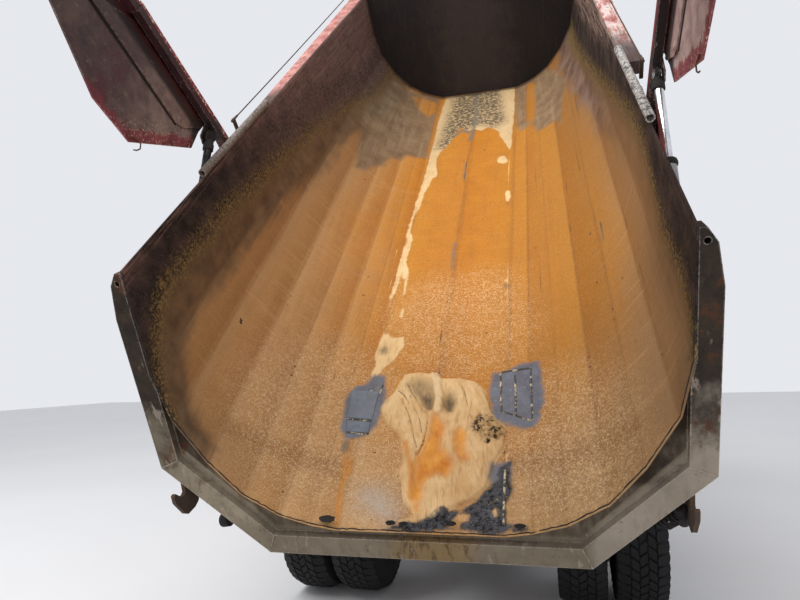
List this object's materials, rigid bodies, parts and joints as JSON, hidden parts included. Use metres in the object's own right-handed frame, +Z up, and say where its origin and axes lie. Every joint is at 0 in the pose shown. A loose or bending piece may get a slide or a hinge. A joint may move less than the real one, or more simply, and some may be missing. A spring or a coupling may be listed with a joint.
{
  "type": "dump truck",
  "caption": "Rigid dump truck with a half-pipe bed raised on a front telescopic hoist, an over-arm tailgate swung open, cab doors and steered front wheels.",
  "frame": {"origin": "centre of the bounding box on the ground, bed raised and tailgate open", "axes": "+Y forward to the cab, +X to the vehicle's right, +Z up"},
  "size_m": [2.84, 10.0361, 5.6715],
  "materials": {
    "frame_black": "satin, dusty",
    "tank_metal": "dull, dusty",
    "cab_paint": "faded gloss",
    "glass": "clear",
    "trim_plastic": "grained",
    "seat_fabric": "woven",
    "bed_ochre": "worn, ochre dust and rust",
    "bed_dark": "crusted, speckled",
    "bed_worn_grey": "dirty, stained",
    "bed_red": "faded, chipped",
    "rusty_steel": "rusty",
    "gate_brown": "dirty",
    "gate_red": "faded, chipped",
    "hoist_steel": "oily",
    "chrome_rod": "bright",
    "tyre": "dusty",
    "rim": "dusty"
  },
  "bodies": {
    "chassis": {"chassis_frame": "frame_black", "tipper_subframe": "frame_black", "leaf_springs": "frame_black", "front_axle": "frame_black", "drive_axles": "frame_black", "engine_and_gearbox": "frame_black", "propeller_shafts": "frame_black", "fuel_tank": "tank_metal", "battery_box": "frame_black", "air_vessels": "tank_metal", "exhaust_stack": "tank_metal", "rear_mudguards": "frame_black", "rear_lamp_bar": "frame_black", "cab_shell": "cab_paint", "cab_glass": "glass", "dashboard": "trim_plastic", "seats": "seat_fabric", "front_bumper": "frame_black", "grille": "frame_black", "steps_and_arches": "frame_black", "mirrors": "frame_black"},
    "bed": {"bed_shell": "bed_ochre", "bulkhead": "bed_dark", "rear_frame": "bed_worn_grey", "top_rails": "bed_red", "bed_underframe": "bed_red", "tailgate_brackets": "bed_red", "latch_hooks": "rusty_steel", "tarp_cables": "rusty_steel"},
    "tailgate": {"tailgate_panel": "gate_brown", "tailgate_arms": "gate_red"},
    "hoist_barrel": {"hoist_barrel": "hoist_steel"},
    "hoist_stage_1": {"hoist_stage_1": "hoist_steel"},
    "hoist_stage_2": {"hoist_stage_2": "hoist_steel"},
    "hoist_stage_3": {"hoist_stage_3": "hoist_steel"},
    "gate_cylinder_left": {"gate_cylinder_left": "hoist_steel"},
    "gate_rod_left": {"gate_rod_left": "chrome_rod"},
    "knuckle_left": {"knuckle_left": "frame_black"},
    "front_wheel_left": {"front_tyre_left": "tyre", "front_rim_left": "rim"},
    "middle_wheel_left": {"middle_tyres_left": "tyre", "middle_rims_left": "rim"},
    "rear_wheel_left": {"rear_tyres_left": "tyre", "rear_rims_left": "rim"},
    "door_left": {"door_left": "cab_paint", "door_glass_left": "glass"},
    "gate_cylinder_right": {"gate_cylinder_right": "hoist_steel"},
    "gate_rod_right": {"gate_rod_right": "chrome_rod"},
    "knuckle_right": {"knuckle_right": "frame_black"},
    "front_wheel_right": {"front_tyre_right": "tyre", "front_rim_right": "rim"},
    "middle_wheel_right": {"middle_tyres_right": "tyre", "middle_rims_right": "rim"},
    "rear_wheel_right": {"rear_tyres_right": "tyre", "rear_rims_right": "rim"},
    "door_right": {"door_right": "cab_paint", "door_glass_right": "glass"}
  },
  "joints": [
    {"name": "bed_tip", "type": "hinge", "parent": "chassis", "child": "bed", "pos_m": [0, -2.4719, 1.05], "axis": [1, 0, 0], "range_deg": [-47, 0]},
    {"name": "tailgate_swing", "type": "hinge", "parent": "bed", "child": "tailgate", "pos_m": [0, -2.78045, 2.81444], "axis": [1, 0, 0], "range_deg": [0, 73]},
    {"name": "hoist_swivel", "type": "hinge", "parent": "chassis", "child": "hoist_barrel", "pos_m": [0, 2.5781, 0.95], "axis": [1, 0, 0], "range_deg": [-21.49, 0]},
    {"name": "hoist_slide_1", "type": "slide", "parent": "hoist_barrel", "child": "hoist_stage_1", "axis": [0, -0.5387, 0.8425], "range_m": [-1.26839, 0]},
    {"name": "hoist_slide_2", "type": "slide", "parent": "hoist_stage_1", "child": "hoist_stage_2", "axis": [0, -0.5387, 0.8425], "range_m": [-1.26839, 0]},
    {"name": "hoist_slide_3", "type": "slide", "parent": "hoist_stage_2", "child": "hoist_stage_3", "axis": [0, -0.5387, 0.8425], "range_m": [-1.26839, 0]},
    {"name": "gate_cylinder_swivel_left", "type": "hinge", "parent": "bed", "child": "gate_cylinder_left", "pos_m": [-1.203, -3.49143, 1.49482], "axis": [1, 0, 0], "range_deg": [-13.68, 0]},
    {"name": "gate_rod_slide_left", "type": "slide", "parent": "gate_cylinder_left", "child": "gate_rod_left", "axis": [0, 0.2211, 0.9753], "range_m": [-0.3722, 0]},
    {"name": "gate_cylinder_swivel_right", "type": "hinge", "parent": "bed", "child": "gate_cylinder_right", "pos_m": [1.203, -3.49143, 1.49482], "axis": [1, 0, 0], "range_deg": [-13.68, 0]},
    {"name": "gate_rod_slide_right", "type": "slide", "parent": "gate_cylinder_right", "child": "gate_rod_right", "axis": [0, 0.2211, 0.9753], "range_m": [-0.3722, 0]},
    {"name": "steer_left", "type": "hinge", "parent": "chassis", "child": "knuckle_left", "pos_m": [-0.86, 3.4781, 0.525], "axis": [0, 0, 1], "range_deg": [-35, 35]},
    {"name": "front_wheel_spin_left", "type": "hinge", "parent": "knuckle_left", "child": "front_wheel_left", "pos_m": [-1.04, 3.4781, 0.525], "axis": [1, 0, 0], "continuous": true},
    {"name": "steer_right", "type": "hinge", "parent": "chassis", "child": "knuckle_right", "pos_m": [0.86, 3.4781, 0.525], "axis": [0, 0, 1], "range_deg": [-35.1, 35.1]},
    {"name": "front_wheel_spin_right", "type": "hinge", "parent": "knuckle_right", "child": "front_wheel_right", "pos_m": [1.04, 3.4781, 0.525], "axis": [1, 0, 0], "continuous": true},
    {"name": "middle_wheel_spin_left", "type": "hinge", "parent": "chassis", "child": "middle_wheel_left", "pos_m": [-0.915, -0.3219, 0.525], "axis": [1, 0, 0], "continuous": true},
    {"name": "middle_wheel_spin_right", "type": "hinge", "parent": "chassis", "child": "middle_wheel_right", "pos_m": [0.915, -0.3219, 0.525], "axis": [1, 0, 0], "continuous": true},
    {"name": "rear_wheel_spin_left", "type": "hinge", "parent": "chassis", "child": "rear_wheel_left", "pos_m": [-0.915, -1.7019, 0.525], "axis": [1, 0, 0], "continuous": true},
    {"name": "rear_wheel_spin_right", "type": "hinge", "parent": "chassis", "child": "rear_wheel_right", "pos_m": [0.915, -1.7019, 0.525], "axis": [1, 0, 0], "continuous": true},
    {"name": "door_left_swing", "type": "hinge", "parent": "chassis", "child": "door_left", "pos_m": [-1.166, 4.5311, 1.9], "axis": [0, 0, -1], "range_deg": [0, 75]},
    {"name": "door_right_swing", "type": "hinge", "parent": "chassis", "child": "door_right", "pos_m": [1.166, 4.5311, 1.9], "axis": [0, 0, 1], "range_deg": [0, 75]}
  ],
  "couplings": [
    {"joint": "hoist_swivel", "follows": "bed_tip", "ratio": 0.45701},
    {"joint": "hoist_slide_1", "follows": "bed_tip", "m_per_rad": 1.545},
    {"joint": "hoist_slide_2", "follows": "bed_tip", "m_per_rad": 1.545},
    {"joint": "hoist_slide_3", "follows": "bed_tip", "m_per_rad": 1.545},
    {"joint": "gate_cylinder_swivel_left", "follows": "tailgate_swing", "ratio": -0.18726},
    {"joint": "gate_rod_slide_left", "follows": "tailgate_swing", "m_per_rad": -0.29134},
    {"joint": "gate_cylinder_swivel_right", "follows": "tailgate_swing", "ratio": -0.18726},
    {"joint": "gate_rod_slide_right", "follows": "tailgate_swing", "m_per_rad": -0.29134},
    {"joint": "steer_right", "follows": "steer_left", "ratio": 1}
  ]
}
